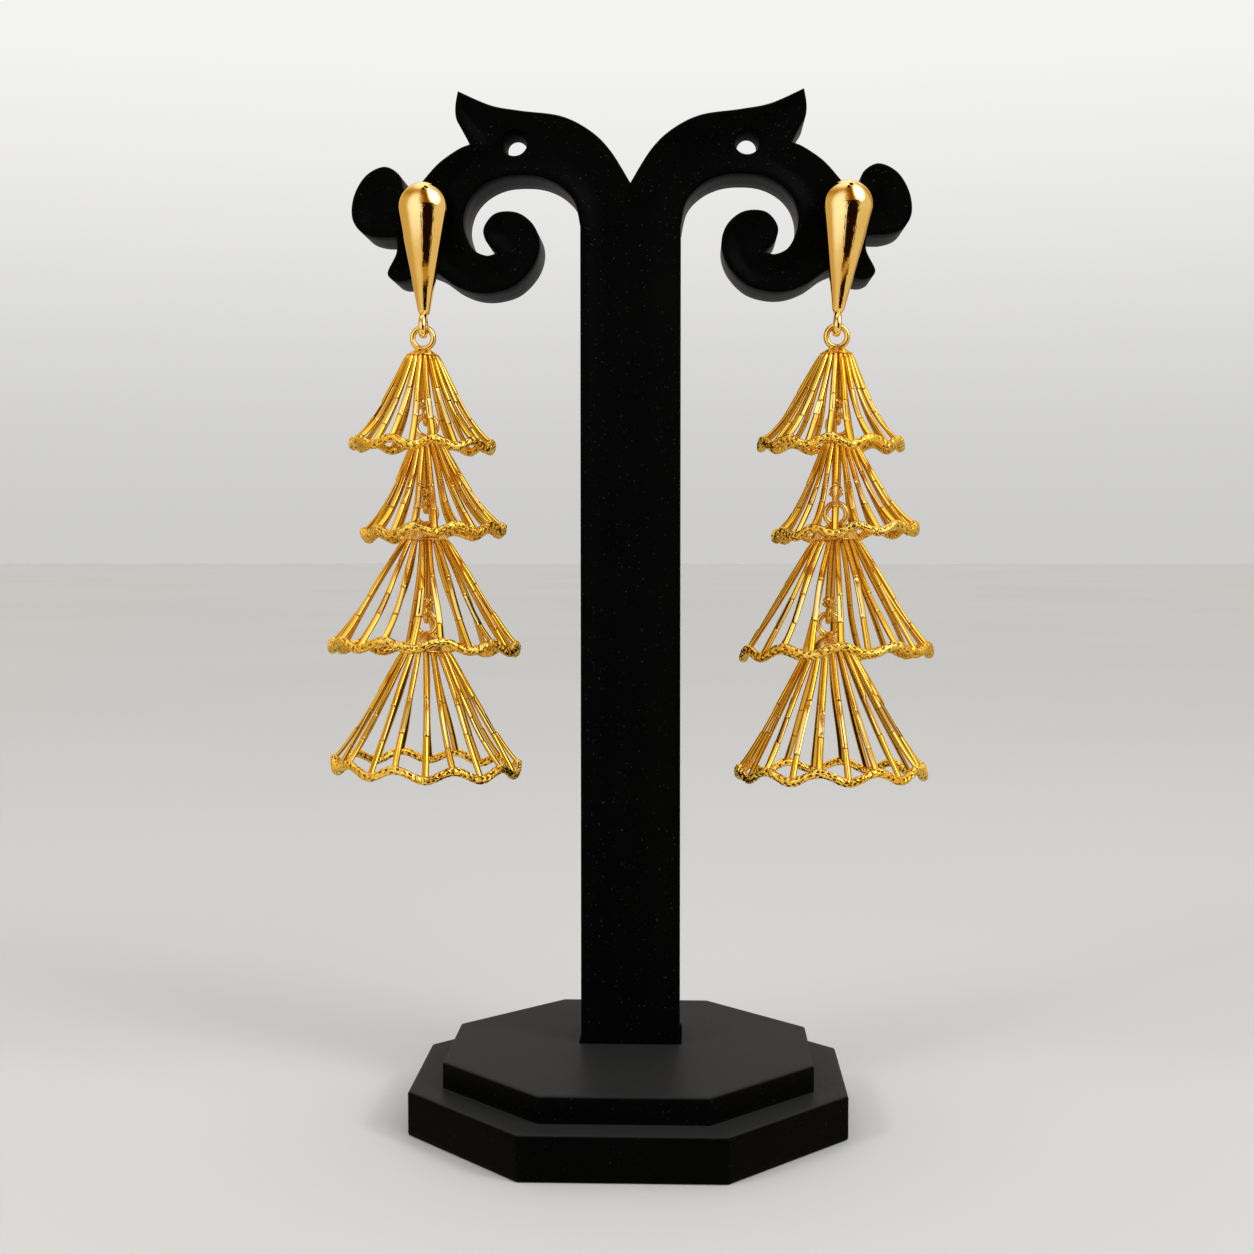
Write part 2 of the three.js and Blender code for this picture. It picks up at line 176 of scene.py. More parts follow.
# the sides from the underside up to the rim of the top, and then the slot from the rim down
side_levels = [
    (BASE_LOWER, BASE_EDGE + SIDE_STRIP, 0), (BASE_LOWER, BASE_EDGE, 0), (BASE_LOWER, 0.08, 0.1),
    (BASE_LOWER, 0, BASE_EDGE), (BASE_LOWER, 0, BASE_EDGE + SIDE_STRIP),
    (BASE_LOWER, 0, LOWER_TOP - BASE_EDGE - SIDE_STRIP),
    *round_edge(BASE_LOWER, LOWER_TOP, BASE_EDGE),
    (BASE_LOWER, BASE_EDGE + TOP_STRIP, LOWER_TOP), (BASE_UPPER, -0.7, LOWER_TOP),
    (BASE_UPPER, -STEP_FILLET, LOWER_TOP), (BASE_UPPER, -0.05, LOWER_TOP + 0.04),
    (BASE_UPPER, 0, LOWER_TOP + STEP_FILLET), (BASE_UPPER, 0, LOWER_TOP + TOP_STRIP),
    (BASE_UPPER, 0, UPPER_TOP - BASE_EDGE - SIDE_STRIP),
    *round_edge(BASE_UPPER, UPPER_TOP, BASE_EDGE),
    (BASE_UPPER, BASE_EDGE + TOP_STRIP, UPPER_TOP),
]
sides = [octagon(*level) for level in side_levels]
slot_x, slot_y = STEM_HALF + SLOT_PLAY, PLATE / 2 + SLOT_PLAY
slot_levels = [(SIDE_STRIP, UPPER_TOP), (0.1, UPPER_TOP), (0, UPPER_TOP - SLOT_CHAMFER), (0, SLOT_FLOOR)]
slot = [slot_ring(slot_x + out, slot_y + out, height, sides[-1]) for out, height in slot_levels]
slot_floor = np.tile([0, PLATE / 2, SLOT_FLOOR], (len(sides[0]), 1))
base_levels = [np.zeros_like(sides[0]), *sides, *slot, slot_floor]
base = piece("stand_base_moulding", *skin([np.array(base_levels)]), sharp=30)


def add_node(tree, kind, settings=None, **sockets):
    """A new node; each socket, by its name or by i and its number, is set to a value or joined to
    another node's socket."""
    node = tree.nodes.new(kind)
    for key, value in (settings or {}).items():
        setattr(node, key, value)
    for key, value in sockets.items():
        numbered = key[0] == "i" and key[1:].isdigit()
        socket = node.inputs[int(key[1:]) if numbered else key]
        if isinstance(value, bpy.types.NodeSocket):
            tree.links.new(value, socket)
        else:
            socket.default_value = value
    return node


def finish(name):
    """A new finish: its shader, and short ways to add a node to it and to join two sockets."""
    material = bpy.data.materials.new(name)
    material.use_nodes = True
    tree = material.node_tree
    shader = next(node for node in tree.nodes if node.type == "BSDF_PRINCIPLED")
    return material, shader, partial(add_node, tree), tree.links.new


def ramp(add, factor, stops):
    """A colour ramp over factor; each stop is a place and a colour or a grey."""
    node = add("ShaderNodeValToRGB", i0=factor)
    elements = node.color_ramp.elements
    while len(elements) < len(stops):
        elements.new(1.0)
    for element, (place, colour) in zip(elements, stops):
        element.position = place
        element.color = (colour, colour, colour, 1) if isinstance(colour, float) else (*colour, 1)
    return node.outputs["Color"]


def noise(add, place, scale, detail=2.0, roughness=0.5):
    """A noise between 0 and 1, in about scale lumps to the metre."""
    return add("ShaderNodeTexNoise", Vector=place, Scale=scale, Detail=detail,
               Roughness=roughness).outputs["Fac"]


def mixed(add, share, under, over):
    """One colour turned into another by a share; each of them is a socket or a plain colour."""
    under, over = (colour if isinstance(colour, bpy.types.NodeSocket) else (*colour, 1)
                   for colour in (under, over))
    return add("ShaderNodeMix", {"data_type": "RGBA"}, i0=share, i6=under, i7=over).outputs[2]


def black_styrene(name, grain, sheen):
    """Satin black moulded plastic: a fine spark-eroded grain, flecks of dust and faint rubbed
    patches, and painted light on what faces up, a paler grey for the light from above. The grain
    is given in flecks to the metre, and the sheen as the roughness between them."""
    material, shader, add, link = finish(name)
    place = add("ShaderNodeTexCoord").outputs["Object"]
    fine = noise(add, place, grain, 3.0, 0.6)
    flecks = noise(add, place, grain * 0.8, 1.0)
    patches = noise(add, place, 90.0, 4.0, 0.6)
    black = ramp(add, patches, [(0.3, (0.0006, 0.0006, 0.0007)), (0.7, (0.0012, 0.0012, 0.0012))])
    facing = add("ShaderNodeSeparateXYZ", Vector=add("ShaderNodeNewGeometry").outputs["Normal"])
    # painted light: what faces up is painted a paler grey, as if lit from above
    upward = ramp(add, facing.outputs["Z"], [(0.5, 0.0), (0.95, 1.0)])
    painted_top_light = mixed(add, upward, black, (0.017, 0.017, 0.017))
    dust = ramp(add, flecks, [(0.70, 0.0), (0.78, 1.0)])
    link(mixed(add, dust, painted_top_light, (0.02, 0.02, 0.02)), shader.inputs["Base Color"])
    link(ramp(add, fine, [(0.3, sheen - 0.05), (0.7, sheen + 0.08)]), shader.inputs["Roughness"])
    shader.inputs["IOR"].default_value = 1.5
    shader.inputs["Specular IOR Level"].default_value = 0.02
    bump = add("ShaderNodeBump", Strength=0.35, Distance=0.00003, Height=fine)
    link(bump.outputs["Normal"], shader.inputs["Normal"])
    return material


base.data.materials.append(black_styrene("base_black_styrene", 5200.0, 0.42))
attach(base, "stand")
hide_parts("stand_base")

# ---- Upright ----------------------------------------------------------------------------------
# One moulding of the same styrene: a stem that divides into two scrolled arms. Its face is dished
# between raised edges, its back is flat, and the edges are rounded. Two tapering holes in each arm
# take the ear posts, with a round pocket behind for the backs. It is pressed into the base.
UPRIGHT_EDGE = 0.28
DISH = {"lip": 0.5, "reach": 3.6, "depth": 0.95}
UPRIGHT_FOOT = 2.3
POST_HOLE = {"mouth": 1.6, "throat": 1.15, "throat_depth": 5.9, "pocket": 2.6}
HOLE_CENTRES = [(13.6, 114.1), (24.25, 104.6), (-13.6, 114.1), (-24.25, 104.6)]
HOLE_SIDES = 48
# the outline's right half, from the notch between the arms: each stroke's number of spans, and the
# points that it runs through after the last stroke's end
V_NOTCH = (0.0, 109.3)
POINTS_TO_A_SPAN = 6
STROKES = [
    # crest, up and out to its tip
    (11, [(2.3, 113.0), (4.7, 115.35), (8.1, 117.05), (12.8, 117.7), (16.3, 118.35), (20.1, 120.0)]),
    # inner side of the crest's tip
    (5, [(20.4, 118.3), (20.3, 116.8), (19.6, 115.5), (18.75, 113.85)]),
    # shoulder, down to the leaf
    (5, [(20.1, 113.3), (22.4, 111.7), (24.3, 109.6), (25.4, 108.2)]),
    # leaf
    (14, [(26.5, 108.8), (27.0, 110.4), (28.75, 111.35), (30.9, 110.35), (32.3, 108.1),
          (32.6, 105.6), (31.6, 103.85), (29.7, 103.15), (27.4, 103.2)]),
    # tail under the leaf
    (6, [(27.4, 101.3), (28.45, 99.0), (27.4, 98.05), (25.7, 98.3), (24.5, 99.7)]),
    # outside of the scroll
    (24, [(22.6, 98.95), (20.4, 97.45), (18.1, 96.65), (15.7, 96.7), (13.3, 97.6), (11.3, 99.8),
          (10.6, 102.3), (11.3, 104.5), (13.2, 105.95), (15.7, 105.9), (17.1, 104.3), (16.9, 102.7),
          (15.6, 101.3)]),
    # inside of the scroll and the opening, round to the stem
    (16, [(16.9, 101.0), (18.5, 101.9), (19.5, 104.5), (19.05, 107.0), (17.6, 108.85), (15.4, 110.0),
          (12.9, 110.3), (10.45, 110.04), (8.25, 109.03), (6.55, 107.2), (STEM_HALF, 104.3)]),
]


def smooth_stroke(through, count):
    """Count points along a uniform Catmull-Rom curve: between two of its points the curve is the
    cubic that leaves and arrives along half the chord of their neighbours."""
    through = np.array(through)
    padded = np.concatenate([through[:1], through, through[-1:]])
    place = np.linspace(0, len(through) - 1, count + 1)[1:]
    start = np.minimum(place.astype(int), len(through) - 2)
    u = (place - start)[:, None]
    before, here, there, after = (padded[start + k] for k in range(4))
    leave, arrive = (there - before) / 2, (after - here) / 2
    return ((2 * here - 2 * there + leave + arrive) * u ** 3
            + (-3 * here + 3 * there - 2 * leave - arrive) * u ** 2 + leave * u + here)


half_outline = [np.array([V_NOTCH])]
for spans, through in STROKES:
    joined_on = [tuple(half_outline[-1][-1])] + through
    half_outline.append(smooth_stroke(joined_on, spans * POINTS_TO_A_SPAN))
stem_side = np.linspace(half_outline[-1][-1, 1], UPRIGHT_FOOT, 60)[1:]
half_outline.append(np.column_stack([np.full(len(stem_side), STEM_HALF), stem_side]))
half_outline = np.concatenate(half_outline)
foot_x = np.linspace(STEM_HALF, -STEM_HALF, 12)[1:-1]
foot_edge = np.column_stack([foot_x, np.full(len(foot_x), UPRIGHT_FOOT)])
outline = np.concatenate([half_outline, foot_edge, half_outline[:0:-1] * [-1, 1]])
# rounded as a mesh rounds it, so that the faces and the wall meet in the same points
outline = outline.astype(np.float32).astype(float)
hole_circle = np.column_stack([np.cos(full_turn(HOLE_SIDES)), np.sin(full_turn(HOLE_SIDES))])


def to_edge(points, edge, block=400):
    """How far each point is from the nearest stretch of a closed outline, block by block."""
    start, run = edge, np.roll(edge, -1, axis=0) - edge
    length = np.maximum(np.sum(run ** 2, axis=1), 1e-12)
    nearest = []
    for part in np.array_split(points, max(len(points) // block, 1)):
        away = part[:, None] - start[None]
        share = np.clip(np.sum(away * run[None], axis=2) / length, 0, 1)
        nearest.append(np.sqrt(np.sum((away - share[..., None] * run[None]) ** 2, axis=2)).min(axis=1))
    return np.concatenate(nearest)


def face_depth(distance, dished):
    """How far the face lies behind its highest line, by the distance from the outline: a quarter
    round at the edge, then a flat lip, and then a dish that levels out as a parabola does."""
    into = np.clip(UPRIGHT_EDGE - distance, 0, UPRIGHT_EDGE)
    rounding = UPRIGHT_EDGE - np.sqrt(np.maximum(UPRIGHT_EDGE ** 2 - into ** 2, 0))
    share = np.clip((distance - DISH["lip"]) / DISH["reach"], 0, 1)
    return rounding + (DISH["depth"] * (1 - (1 - share) ** 2) if dished else 0)


def flat_mesh(spacing, hole):
    """The upright's outline filled with triangles: its own points, four rows that follow it just
    inside, a net of points over the rest, and the post holes as circles of the radius hole."""
    run = np.roll(outline, -1, axis=0) - np.roll(outline, 1, axis=0)
    inward = np.column_stack([run[:, 1], -run[:, 0]]) / np.linalg.norm(run, axis=1)[:, None]
    insets = [0.09, 0.19, UPRIGHT_EDGE, DISH["lip"]]
    rows = np.concatenate([outline + inward * inset for inset in insets])
    rows = rows[to_edge(rows, outline) > 0.93 * np.repeat(insets, len(outline))]
    across, up = np.meshgrid(np.arange(-33, 33, spacing), np.arange(2.5, 120, spacing * 0.866))
    across = across + np.where(np.arange(len(up)) % 2, spacing / 2, 0)[:, None]
    net = np.column_stack([across.ravel(), up.ravel()])
    net = net[to_edge(net, outline) > DISH["lip"] + spacing * 0.45]
    for centre in HOLE_CENTRES:
        net = net[np.linalg.norm(net - centre, axis=1) > hole + 0.3]
        rows = rows[np.linalg.norm(rows - centre, axis=1) > hole + 0.1]
    loops = [outline, *(hole_circle * hole + centre for centre in HOLE_CENTRES)]
    starts = np.cumsum([0] + [len(loop) for loop in loops])
    edges = [(int(first + k), int(first + (k + 1) % len(loop)))
             for first, loop in zip(starts, loops) for k in range(len(loop))]
    points = np.concatenate([*loops, rows, net])
    flat, _, triangles, *_ = delaunay_2d_cdt([Vector(p) for p in points], edges, [], 1, 1e-6)
    flat, triangles = np.array([tuple(p) for p in flat]), np.array(triangles)
    middle = flat[triangles].mean(axis=1)
    for centre in HOLE_CENTRES:
        keep = np.linalg.norm(middle - centre, axis=1) > hole
        triangles, middle = triangles[keep], middle[keep]
    return flat, triangles


def upright_skin():
    """The dished face, the flat back, the wall round the outline, and the walls of the holes."""
    front, front_faces = flat_mesh(0.8, POST_HOLE["mouth"])
    back, back_faces = flat_mesh(2.2, POST_HOLE["pocket"])
    front_y = face_depth(to_edge(front, outline), True)
    back_y = PLATE - face_depth(to_edge(back, outline), False)
    wall_y = np.linspace(UPRIGHT_EDGE, PLATE - UPRIGHT_EDGE, 4)
    around = len(outline)
    wall = np.concatenate([np.column_stack([outline[:, 0], np.full(around, y), outline[:, 1]])
                           for y in wall_y])
    front_faces, back_faces = (np.column_stack([faces, faces[:, 2]])
                               for faces in (front_faces, back_faces[:, ::-1]))
    parts = [
        (np.column_stack([front[:, 0], front_y, front[:, 1]]), front_faces),
        (np.column_stack([back[:, 0], back_y, back[:, 1]]), back_faces),
        (wall, corner_quads(len(wall_y), around, False)),
    ]
    for centre in HOLE_CENTRES:
        mouth = (hole_circle * POST_HOLE["mouth"] + centre).astype(np.float32).astype(float)
        mouth_y = face_depth(to_edge(mouth, outline), True)
        levels = [(POST_HOLE["mouth"], mouth_y), (POST_HOLE["mouth"] - 0.1, mouth_y + 0.12),
                  (POST_HOLE["throat"], POST_HOLE["throat_depth"]),
                  (POST_HOLE["pocket"], POST_HOLE["throat_depth"]), (POST_HOLE["pocket"], PLATE)]
        rings = []
        for r, y in levels:
            x, z = (hole_circle * r + centre).T
            rings.append(np.column_stack([x, np.broadcast_to(y, HOLE_SIDES), z]))
        parts.append((np.concatenate(rings), corner_quads(len(levels), HOLE_SIDES, False)))
    return joined(*parts)


upright = piece("stand_upright_moulding", *upright_skin(), sharp=42)
upright.data.materials.append(black_styrene("upright_black_styrene", 4200.0, 0.4))
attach(upright, "stand")
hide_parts("stand_upright")

# ---- Studs ------------------------------------------------------------------------------------
# The ear studs are hollow pears die-struck from sheet gold and polished like a mirror. A post is
# soldered behind each, a little off its middle, and a wire loop under its tip carries the bells.
# Each pear hangs by its post, and has turned to the angle that the earring's weight gave it.
GAP = 0.3
STUD_Z = 104.45
HANG_Y = -1.6
HANG_DROP = 12.03
PEAR = {"r": 2.8, "tip_r": 0.72, "drop": 11.7, "rise": 1.85}
PEAR_WALL = 1.75
PEAR_TAPER = 0.9
PEAR_EDGE = 0.4
PEAR_DOME = math.radians(46)
POST = {"r": 0.45, "length": 10.4}
EYE = {"r": 0.92, "wire": 0.32}
STUD_LOOP = {"broad": 1.45, "tall": 1.4}
STUDS = {"left": {"x": -24.165, "lean": -0.2, "shift": 0.2},
         "right": {"x": 24.385, "lean": -5.1, "shift": 0.58}}


def hung(points, place, lean, tip=0.0):
    """Points tipped up at the front by tip degrees about the X axis through the origin, swung
    sideways about the Y axis by lean degrees, where plus moves what hangs below to the right, and
    then set down at place."""
    def swung(a, b, degrees):
        angle = math.radians(degrees)
        return a * math.cos(angle) - b * math.sin(angle), a * math.sin(angle) + b * math.cos(angle)

    x, y, z = np.moveaxis(points, -1, 0)
    z, y = swung(z, y, tip)
    x, z = swung(x, z, lean)
    return np.stack([x, y, z], axis=-1) + place


def pear():
    """The pear: a round of radius r, its straight tangents and a small round tip give the half
    width w at each depth. A section is a shallow arc turned over on small round edges into straight
    walls, with a flat back; the walls get lower towards the tip, as a parabola does."""
    r, tip_r, drop = PEAR["r"], PEAR["tip_r"], PEAR["drop"]
    tangent = math.asin((r - tip_r) / drop)
    top = np.linspace(0, math.pi / 2 + tangent, 34)
    tip = np.linspace(math.pi / 2 + tangent, math.pi, 16)
    depth_top, width_top = -r * np.cos(top), r * np.sin(top)
    depth_tip, width_tip = drop - tip_r * np.cos(tip), tip_r * np.sin(tip)
    taper = np.linspace(0, 1, 30)[1:-1]
    depth_side = depth_top[-1] + taper * (depth_tip[0] - depth_top[-1])
    width_side = width_top[-1] + taper * (width_tip[0] - width_top[-1])
    depth = np.concatenate([depth_top, depth_side, depth_tip])
    width = np.concatenate([width_top, width_side, width_tip])
    width = np.maximum(width, 0) * (np.abs(width) > 1e-9)
    w, down = width[:, None], (depth[:, None] / drop).clip(0)
    edge = np.minimum(PEAR_EDGE, w / 2)
    wall = (PEAR_WALL - PEAR_TAPER * down ** 2) * np.sqrt(np.minimum(w / 0.5, 1))
    turned_over = np.linspace(math.pi / 2, PEAR_DOME, 8)[None]
    edge_x, edge_y = w - edge * (1 - np.sin(turned_over)), wall + edge * np.cos(turned_over)
    radius = edge_x[:, -1:] / math.sin(PEAR_DOME)
    lean = np.linspace(PEAR_DOME, -PEAR_DOME, 43)[None, 1:-1]
    dome_x = radius * np.sin(lean)
    dome_y = edge_y[:, -1:] + radius * (np.cos(lean) - math.cos(PEAR_DOME))
    side_x = w * np.array([[0.94, 0.985, 1.0, 1.0]])
    side_y = wall * np.array([[0, 0.03, 0.1, 0.85]])
    x = np.concatenate([side_x, edge_x, dome_x, -edge_x[:, ::-1], -side_x[:, ::-1]], axis=1)
    y = np.concatenate([side_y, edge_y, dome_y, edge_y[:, ::-1], side_y[:, ::-1]], axis=1)
    return np.stack([x, -GAP - y, np.broadcast_to(PEAR["rise"] - depth[:, None], x.shape)], axis=-1)


def turned(profile, count=48):
    """A piece turned about the Z axis: the profile's rows of radius and height, carried round."""
    profile = np.asarray(profile, float)
    turn = full_turn(count)
    r, z = profile[:, :1], np.broadcast_to(profile[:, 1:], (len(profile), count))
    return np.stack([r * np.sin(turn), -r * np.cos(turn), z], axis=-1)


def wire_ring(radius, wire, edge_on, centre, broad=1.0, tall=1.0, around=60, across=18):
    """A ring of wire: its middle line is a circle in the XZ plane, or in the YZ plane where it is
    to be seen edge on, with its upper half drawn out to tall times its height. Its section is
    round, or an oval that is broad times as wide as it is thick."""
    turn, roll = full_turn(around)[:, None], full_turn(across)[None]
    reach = radius + wire * np.cos(roll)
    flat, up = reach * np.cos(turn), reach * np.sin(turn)
    side = broad * wire * np.sin(roll) + 0 * turn
    up = np.where(up > 0, tall * up, up)
    return np.stack([side, flat, up] if edge_on else [flat, side, up], axis=-1) + centre


def polished_gold(name, deep, bright, rough, scratch, peeled=0.12, streak=0.09):
    """Polished yellow gold: its colour drifts a little between deep and bright, its roughness
    rises by streak along fine lines, and hairline scratches and a faint orange peel from the
    polishing wheel, as strong as scratch and peeled, break up the reflections."""
    material, shader, add, link = finish(name)
    place = add("ShaderNodeTexCoord").outputs["Object"]
    drawn = add("ShaderNodeMapping", Vector=place, Scale=(2600.0, 2600.0, 240.0))
    lines = noise(add, drawn.outputs["Vector"], 1.0)
    drift = noise(add, place, 260.0, 3.0, 0.55)
    link(ramp(add, drift, [(0.35, deep), (0.65, bright)]), shader.inputs["Base Color"])
    link(ramp(add, lines, [(0.35, rough), (0.75, rough + streak)]), shader.inputs["Roughness"])
    shader.inputs["Metallic"].default_value = 1.0
    shader.inputs["Specular Tint"].default_value = (1.0, 0.86, 0.60, 1)
    soft = add("ShaderNodeBump", Strength=peeled, Distance=0.00012, Height=noise(add, place, 900.0))
    fine = add("ShaderNodeBump", Strength=scratch, Distance=0.00001, Height=lines,
               Normal=soft.outputs["Normal"])
    link(fine.outputs["Normal"], shader.inputs["Normal"])
    return material, shader, add, link


mirror_gold, *_ = polished_gold("mirror_gold", (0.96, 0.675, 0.275), (1.0, 0.72, 0.31),
                                rough=0.03, scratch=0.02, peeled=0.05, streak=0.02)
post_end = POST["length"] - GAP
post_profile = [(0, -0.7), (POST["r"], -0.7), (POST["r"], 9.7), (0.34, 10.0), (0.1, post_end),
                (0, post_end)]
for side, stud in STUDS.items():
    post = turned(post_profile, 24)
    post = np.stack([post[..., 0], post[..., 2], post[..., 1]], axis=-1)
    shifted = np.array([stud["shift"], 0, 0])
    loop = wire_ring(EYE["r"], EYE["wire"], True, shifted + [0, HANG_Y, -HANG_DROP], **STUD_LOOP)
    place = np.array([stud["x"], 0, STUD_Z])
    points, faces = joined(skin([pear() + shifted, post]), skin([loop], ring=True))
    drop_front = piece(f"{side}_stud_pear", hung(points, place, stud["lean"]), faces, sharp=50)
    drop_front.data.materials.append(mirror_gold)
    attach(drop_front, "stand")
    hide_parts(f"{side}_stud")

# ---- Screw backs ------------------------------------------------------------------------------
# A small round gold nut on each ear post, with a milled edge and a short hub. It sits in the
# pocket behind the arm and is out of sight from the front.
BACK = {"r": 1.8, "bore": 0.62, "thick": 1.7, "hub": 1.2, "hub_length": 1.1}
MILLED = {"notches": 36, "depth": 0.035, "around": 144}
nut_gold, *_ = polished_gold("nut_gold", (0.88, 0.62, 0.22), (0.94, 0.68, 0.26), rough=0.2, scratch=0.3)
nut_front = POST_HOLE["throat_depth"] + GAP
nut_rear = nut_front + BACK["thick"]
hub_end = nut_rear + BACK["hub_length"]
nut_profile = np.array([
    (BACK["bore"], nut_front), (BACK["r"] - 0.25, nut_front), (BACK["r"] - 0.06, nut_front + 0.1),
    (BACK["r"], nut_front + 0.3), (BACK["r"], nut_rear - 0.3), (BACK["r"] - 0.06, nut_rear - 0.1),
    (BACK["r"] - 0.25, nut_rear), (BACK["hub"] + 0.1, nut_rear), (BACK["hub"], nut_rear + 0.15),
    (BACK["hub"], hub_end - 0.15), (BACK["hub"] - 0.15, hub_end), (BACK["bore"], hub_end)])
# the milled edge: the outermost rows of the nut fall and rise round it by a cosine
notched = np.cos(MILLED["notches"] * full_turn(MILLED["around"]))
milled = 1 - MILLED["depth"] * (0.5 - 0.5 * notched) * (nut_profile[:, :1] > BACK["r"] - 0.1)
for side, stud in STUDS.items():
    nut = turned(nut_profile, MILLED["around"])
    nut = np.stack([nut[..., 0] * milled, nut[..., 2], nut[..., 1] * milled], axis=-1)
    points, faces = skin([nut], ring=True)
    points = hung(points, np.array([stud["x"], 0, STUD_Z]), stud["lean"])
    nut = piece(f"{side}_screw_back_nut", points, faces)
    nut.data.materials.append(nut_gold)
    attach(nut, "stand")
    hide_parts(f"{side}_screw_back")

# ---- Bells ------------------------------------------------------------------------------------
# Each bell is soldered from gold wire: a ring and a domed cap, twenty drawn bars filed flat between
# two nicks, and a wavy rim of heavier wire with rows of small pits. Under the caps of the first
# three a tube ends in a beaded collar and in the eye that the next bell's ring hangs from.
RING = {"r": 1.21, "wire": 0.35}
CAP_DROP = 2.4
BAR_TUCK = -0.02
BARS = 20
BAR = {"half": 0.31, "widens": 0.09, "crown": 0.31, "filed_off": 0.13, "back": 0.19, "nick": 0.009,
       "bow": 0.10, "sway": 0.12, "snake": 0.07}
SCALLOPS = 10
RIM = {"half": 0.55, "plain": 0.86, "pit": 0.34, "lump": 0.09, "grain": 0.06, "frost": 0.10,
       "rows": 5, "spacing": 0.68}
COLLAR = {"tube": 0.54, "r": 0.8, "half": 0.72, "waist": -0.15, "beads": 4, "around": 96}
SMALL = {"height": 11.2, "cap_r": 1.65, "cap_rise": 0.8, "dome": (2.4, 0.74, 2.3), "rim_r": 8.0,
         "cone": 0.765, "wave": 0.38, "stem": 7.8}
LARGE = {"height": 14.8, "cap_r": 2.55, "cap_rise": 1.9, "dome": (2.02, 2.26, 2.1), "rim_r": 10.65,
         "cone": 0.94, "wave": 0.45, "stem": 10.4}
LEFT_THIRD = {**LARGE, "height": 14.35}
LEFT_LOWEST = {**LARGE, "height": 15.4, "wave": 0.52}
RIGHT_LOWEST = {**LARGE, "height": 15.9, "wave": 0.52}
# for each bell, from the top: its size; its lean, how far its bars are bent aside, its stem's lean,
# how far it is tipped up at the front and the bearing of a low scallop, all in degrees; and how
# unruly its bars and how frosted its rim are
BELLS = {
    "left": [(SMALL, -1.3, 0.8, 1.4, 0.0, 0.0, 1.0, 0.9),
             (SMALL, 2.4, 2.0, 0.0, 2.2, 8.5, 1.2, 0.9),
             (LEFT_THIRD, -0.9, 0.7, 0.0, 4.2, 0.5, 2.2, 1.0),
             (LEFT_LOWEST, -2.0, 2.0, 0.0, 0.5, 7.0, 1.2, 0.45)],
    "right": [(SMALL, -0.4, -2.8, 0.8, 0.0, 12.0, 1.0, 0.8),
              (SMALL, 3.0, 0.8, -1.0, 2.2, -13.0, 1.2, 1.0),
              (LARGE, 1.3, -1.5, -3.4, 4.2, 16.0, 2.2, 0.9),
              (RIGHT_LOWEST, 0.5, 0.3, 0.0, 3.0, 7.0, 1.2, 0.5)],
}


def ease(value):
    """0 up to 0, 1 from 1, and a smooth S between."""
    value = np.clip(value, 0, 1)
    return value * value * (3 - 2 * value)


def scallop(size, bearing, turn):
    """Height of the wavy rim over its mean, lowest at the bearing turn."""
    return -size["wave"] * np.cos(SCALLOPS * (bearing - turn))


